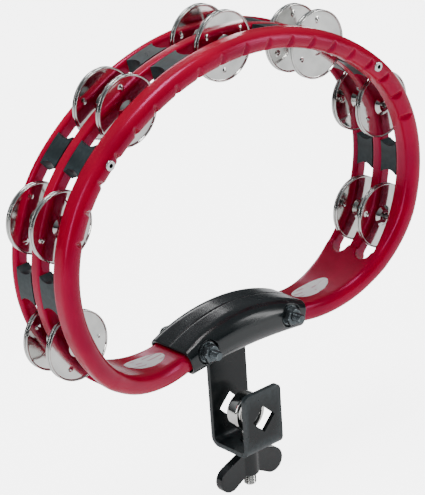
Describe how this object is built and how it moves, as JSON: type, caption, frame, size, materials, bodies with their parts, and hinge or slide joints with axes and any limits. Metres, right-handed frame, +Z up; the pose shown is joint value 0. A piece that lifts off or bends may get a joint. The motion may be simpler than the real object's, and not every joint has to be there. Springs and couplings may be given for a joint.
{
  "type": "mountable tambourine",
  "caption": "Horseshoe-shaped red tambourine with two rows of paired steel jingles, a black grip and a steel clamp with an eye bolt and wing nut that fixes it to a stand rod.",
  "frame": {"origin": "centre of the eye bolt's bore, where the stand's rod goes through", "axes": "+Z up from the clamp to the top of the ring, +Y along the rod away from the striking rim, +X to the right seen from the front"},
  "size_m": [0.2974, 0.054, 0.3075],
  "materials": {
    "red_plastic": "glossy moulded",
    "polished_steel": "mirror polished",
    "pin_steel": "drawn wire",
    "rivet_steel": "nickel plated",
    "black_rubber": "satin moulded",
    "black_plastic": "satin gloss moulded",
    "black_steel": "black oxide",
    "black_coated_steel": "black powder coat",
    "polished_bolt_steel": "polished, plated",
    "black_cast_metal": "gloss black",
    "label_film": "printed film without text"
  },
  "bodies": {
    "ring": {"frame": "red_plastic", "jingle_pin_1": "pin_steel", "jingle_pin_2": "pin_steel", "jingle_pin_3": "pin_steel", "jingle_pin_4": "pin_steel", "jingle_pin_5": "pin_steel", "jingle_pin_6": "pin_steel", "jingle_pin_7": "pin_steel", "spacer_block_1_front": "black_rubber", "spacer_block_1_rear": "black_rubber", "spacer_block_2_front": "black_rubber", "spacer_block_2_rear": "black_rubber", "spacer_block_3_front": "black_rubber", "spacer_block_3_rear": "black_rubber", "spacer_block_4_front": "black_rubber", "spacer_block_4_rear": "black_rubber", "spacer_block_5_front": "black_rubber", "spacer_block_5_rear": "black_rubber", "spacer_block_6_front": "black_rubber", "spacer_block_6_rear": "black_rubber", "tubular_rivets": "rivet_steel", "grip_cover_front": "black_plastic", "grip_cover_rear": "black_plastic", "grip_bolts": "black_steel", "grip_nuts": "black_steel", "grip_washers": "black_steel", "clamp_bracket": "black_coated_steel", "labels": "label_film"},
    "jingle_1_front_a": {"jingle_1_front_plate_a": "polished_steel"},
    "jingle_1_front_b": {"jingle_1_front_plate_b": "polished_steel"},
    "jingle_1_rear_a": {"jingle_1_rear_plate_a": "polished_steel"},
    "jingle_1_rear_b": {"jingle_1_rear_plate_b": "polished_steel"},
    "jingle_2_front_a": {"jingle_2_front_plate_a": "polished_steel"},
    "jingle_2_front_b": {"jingle_2_front_plate_b": "polished_steel"},
    "jingle_2_rear_a": {"jingle_2_rear_plate_a": "polished_steel"},
    "jingle_2_rear_b": {"jingle_2_rear_plate_b": "polished_steel"},
    "jingle_3_front_a": {"jingle_3_front_plate_a": "polished_steel"},
    "jingle_3_front_b": {"jingle_3_front_plate_b": "polished_steel"},
    "jingle_3_rear_a": {"jingle_3_rear_plate_a": "polished_steel"},
    "jingle_3_rear_b": {"jingle_3_rear_plate_b": "polished_steel"},
    "jingle_4_front_a": {"jingle_4_front_plate_a": "polished_steel"},
    "jingle_4_front_b": {"jingle_4_front_plate_b": "polished_steel"},
    "jingle_4_rear_a": {"jingle_4_rear_plate_a": "polished_steel"},
    "jingle_4_rear_b": {"jingle_4_rear_plate_b": "polished_steel"},
    "jingle_5_front_a": {"jingle_5_front_plate_a": "polished_steel"},
    "jingle_5_front_b": {"jingle_5_front_plate_b": "polished_steel"},
    "jingle_5_rear_a": {"jingle_5_rear_plate_a": "polished_steel"},
    "jingle_5_rear_b": {"jingle_5_rear_plate_b": "polished_steel"},
    "jingle_6_front_a": {"jingle_6_front_plate_a": "polished_steel"},
    "jingle_6_front_b": {"jingle_6_front_plate_b": "polished_steel"},
    "jingle_6_rear_a": {"jingle_6_rear_plate_a": "polished_steel"},
    "jingle_6_rear_b": {"jingle_6_rear_plate_b": "polished_steel"},
    "jingle_7_front_a": {"jingle_7_front_plate_a": "polished_steel"},
    "jingle_7_front_b": {"jingle_7_front_plate_b": "polished_steel"},
    "jingle_7_rear_a": {"jingle_7_rear_plate_a": "polished_steel"},
    "jingle_7_rear_b": {"jingle_7_rear_plate_b": "polished_steel"},
    "eye_bolt": {"eye_bolt": "polished_bolt_steel"},
    "wing_nut": {"wing_nut": "black_cast_metal"}
  },
  "joints": [
    {"name": "jingle_1_front_spin", "type": "hinge", "parent": "ring", "child": "jingle_1_front_a", "pos_m": [-0.12433, -0.0009, 0.09071], "axis": [0, 1, 0], "continuous": true},
    {"name": "jingle_1_front_clap", "type": "slide", "parent": "jingle_1_front_a", "child": "jingle_1_front_b", "axis": [0, 1, 0], "range_m": [0, 0.0028]},
    {"name": "jingle_1_rear_spin", "type": "hinge", "parent": "ring", "child": "jingle_1_rear_a", "pos_m": [-0.12433, 0.0199, 0.09071], "axis": [0, 1, 0], "continuous": true},
    {"name": "jingle_1_rear_clap", "type": "slide", "parent": "jingle_1_rear_a", "child": "jingle_1_rear_b", "axis": [0, 1, 0], "range_m": [0, 0.0028]},
    {"name": "jingle_2_front_spin", "type": "hinge", "parent": "ring", "child": "jingle_2_front_a", "pos_m": [-0.1276, -0.0009, 0.16438], "axis": [0, 1, 0], "continuous": true},
    {"name": "jingle_2_front_clap", "type": "slide", "parent": "jingle_2_front_a", "child": "jingle_2_front_b", "axis": [0, 1, 0], "range_m": [0, 0.0028]},
    {"name": "jingle_2_rear_spin", "type": "hinge", "parent": "ring", "child": "jingle_2_rear_a", "pos_m": [-0.1276, 0.0199, 0.16438], "axis": [0, 1, 0], "continuous": true},
    {"name": "jingle_2_rear_clap", "type": "slide", "parent": "jingle_2_rear_a", "child": "jingle_2_rear_b", "axis": [0, 1, 0], "range_m": [0, 0.0028]},
    {"name": "jingle_3_front_spin", "type": "hinge", "parent": "ring", "child": "jingle_3_front_a", "pos_m": [-0.07416, -0.0009, 0.21733], "axis": [0, 1, 0], "continuous": true},
    {"name": "jingle_3_front_clap", "type": "slide", "parent": "jingle_3_front_a", "child": "jingle_3_front_b", "axis": [0, 1, 0], "range_m": [0, 0.0028]},
    {"name": "jingle_3_rear_spin", "type": "hinge", "parent": "ring", "child": "jingle_3_rear_a", "pos_m": [-0.07416, 0.0199, 0.21733], "axis": [0, 1, 0], "continuous": true},
    {"name": "jingle_3_rear_clap", "type": "slide", "parent": "jingle_3_rear_a", "child": "jingle_3_rear_b", "axis": [0, 1, 0], "range_m": [0, 0.0028]},
    {"name": "jingle_4_front_spin", "type": "hinge", "parent": "ring", "child": "jingle_4_front_a", "pos_m": [0, -0.0009, 0.2359], "axis": [0, 1, 0], "continuous": true},
    {"name": "jingle_4_front_clap", "type": "slide", "parent": "jingle_4_front_a", "child": "jingle_4_front_b", "axis": [0, 1, 0], "range_m": [0, 0.0028]},
    {"name": "jingle_4_rear_spin", "type": "hinge", "parent": "ring", "child": "jingle_4_rear_a", "pos_m": [0, 0.0199, 0.2359], "axis": [0, 1, 0], "continuous": true},
    {"name": "jingle_4_rear_clap", "type": "slide", "parent": "jingle_4_rear_a", "child": "jingle_4_rear_b", "axis": [0, 1, 0], "range_m": [0, 0.0028]},
    {"name": "jingle_5_front_spin", "type": "hinge", "parent": "ring", "child": "jingle_5_front_a", "pos_m": [0.07416, -0.0009, 0.21733], "axis": [0, 1, 0], "continuous": true},
    {"name": "jingle_5_front_clap", "type": "slide", "parent": "jingle_5_front_a", "child": "jingle_5_front_b", "axis": [0, 1, 0], "range_m": [0, 0.0028]},
    {"name": "jingle_5_rear_spin", "type": "hinge", "parent": "ring", "child": "jingle_5_rear_a", "pos_m": [0.07416, 0.0199, 0.21733], "axis": [0, 1, 0], "continuous": true},
    {"name": "jingle_5_rear_clap", "type": "slide", "parent": "jingle_5_rear_a", "child": "jingle_5_rear_b", "axis": [0, 1, 0], "range_m": [0, 0.0028]},
    {"name": "jingle_6_front_spin", "type": "hinge", "parent": "ring", "child": "jingle_6_front_a", "pos_m": [0.1276, -0.0009, 0.16438], "axis": [0, 1, 0], "continuous": true},
    {"name": "jingle_6_front_clap", "type": "slide", "parent": "jingle_6_front_a", "child": "jingle_6_front_b", "axis": [0, 1, 0], "range_m": [0, 0.0028]},
    {"name": "jingle_6_rear_spin", "type": "hinge", "parent": "ring", "child": "jingle_6_rear_a", "pos_m": [0.1276, 0.0199, 0.16438], "axis": [0, 1, 0], "continuous": true},
    {"name": "jingle_6_rear_clap", "type": "slide", "parent": "jingle_6_rear_a", "child": "jingle_6_rear_b", "axis": [0, 1, 0], "range_m": [0, 0.0028]},
    {"name": "jingle_7_front_spin", "type": "hinge", "parent": "ring", "child": "jingle_7_front_a", "pos_m": [0.12433, -0.0009, 0.09071], "axis": [0, 1, 0], "continuous": true},
    {"name": "jingle_7_front_clap", "type": "slide", "parent": "jingle_7_front_a", "child": "jingle_7_front_b", "axis": [0, 1, 0], "range_m": [0, 0.0028]},
    {"name": "jingle_7_rear_spin", "type": "hinge", "parent": "ring", "child": "jingle_7_rear_a", "pos_m": [0.12433, 0.0199, 0.09071], "axis": [0, 1, 0], "continuous": true},
    {"name": "jingle_7_rear_clap", "type": "slide", "parent": "jingle_7_rear_a", "child": "jingle_7_rear_b", "axis": [0, 1, 0], "range_m": [0, 0.0028]},
    {"name": "wing_nut_turn", "type": "hinge", "parent": "ring", "child": "wing_nut", "pos_m": [0, 0, -0.0335], "axis": [0, 0, 1], "range_deg": [-1440, 1440]},
    {"name": "eye_bolt_draw", "type": "slide", "parent": "ring", "child": "eye_bolt", "axis": [0, 0, -1], "range_m": [-0.005, 0.005]}
  ],
  "couplings": [
    {"joint": "wing_nut_turn", "follows": "eye_bolt_draw", "rad_per_m": 5026.5}
  ]
}
